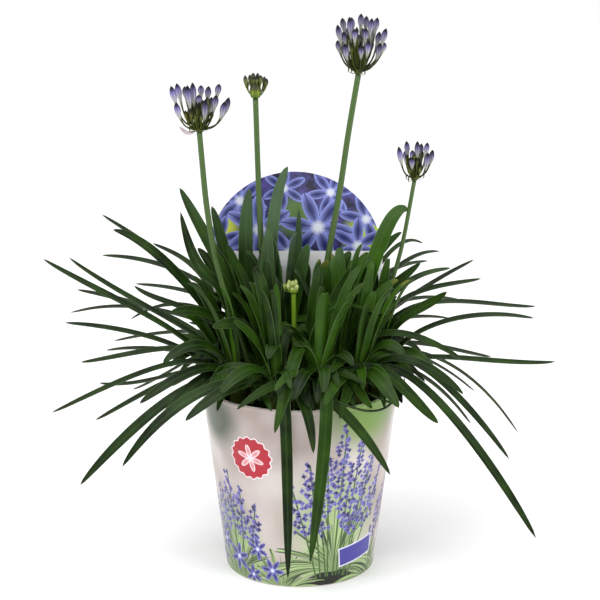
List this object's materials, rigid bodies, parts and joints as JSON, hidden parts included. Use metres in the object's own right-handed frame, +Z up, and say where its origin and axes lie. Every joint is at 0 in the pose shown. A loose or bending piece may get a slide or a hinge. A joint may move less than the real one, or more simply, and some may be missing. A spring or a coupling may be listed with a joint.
{
  "type": "potted agapanthus plant",
  "caption": "Agapanthus in bud: strap leaves in a dense clump, upright flower stems with heads of buds and a round picture card, in a tapered plastic pot.",
  "frame": {"origin": "centre of the pot's underside, on the surface it stands on", "axes": "+Z up along the pot's axis, -Y towards the side that faces the viewer, +X to the viewer's right"},
  "size_m": [0.48, 0.303, 0.5305],
  "materials": {
    "pot": "moulded polypropylene with a satin printed film",
    "soil": "moist peat and bark",
    "card": "printed plastic card, satin",
    "leaf": "waxy leaf with fine lengthwise veins",
    "stalk": "smooth waxy stem",
    "bud": "soft satin petals, closed",
    "young_bud": "soft satin green bud",
    "bract": "dry papery bract"
  },
  "bodies": {
    "root": {"pot": "pot", "soil": "soil", "label": "card", "fan_01": "leaf", "fan_02": "leaf", "fan_03": "leaf", "fan_04": "leaf", "fan_05": "leaf", "fan_06": "leaf", "fan_07": "leaf", "fan_08": "leaf", "fan_09": "leaf", "fan_10": "leaf", "fan_11": "leaf", "fan_12": "leaf", "fan_13": "leaf", "fan_14": "leaf", "fan_15": "leaf", "fan_16": "leaf", "fan_17": "leaf", "stalk_01": "stalk", "stalk_02": "stalk", "stalk_03": "stalk", "stalk_04": "stalk", "stalk_05": "stalk", "umbel_01": "bud", "umbel_02": "young_bud", "umbel_03": "bud", "umbel_04": "bud", "umbel_05": "young_bud", "bract": "bract"}
  },
  "joints": []
}
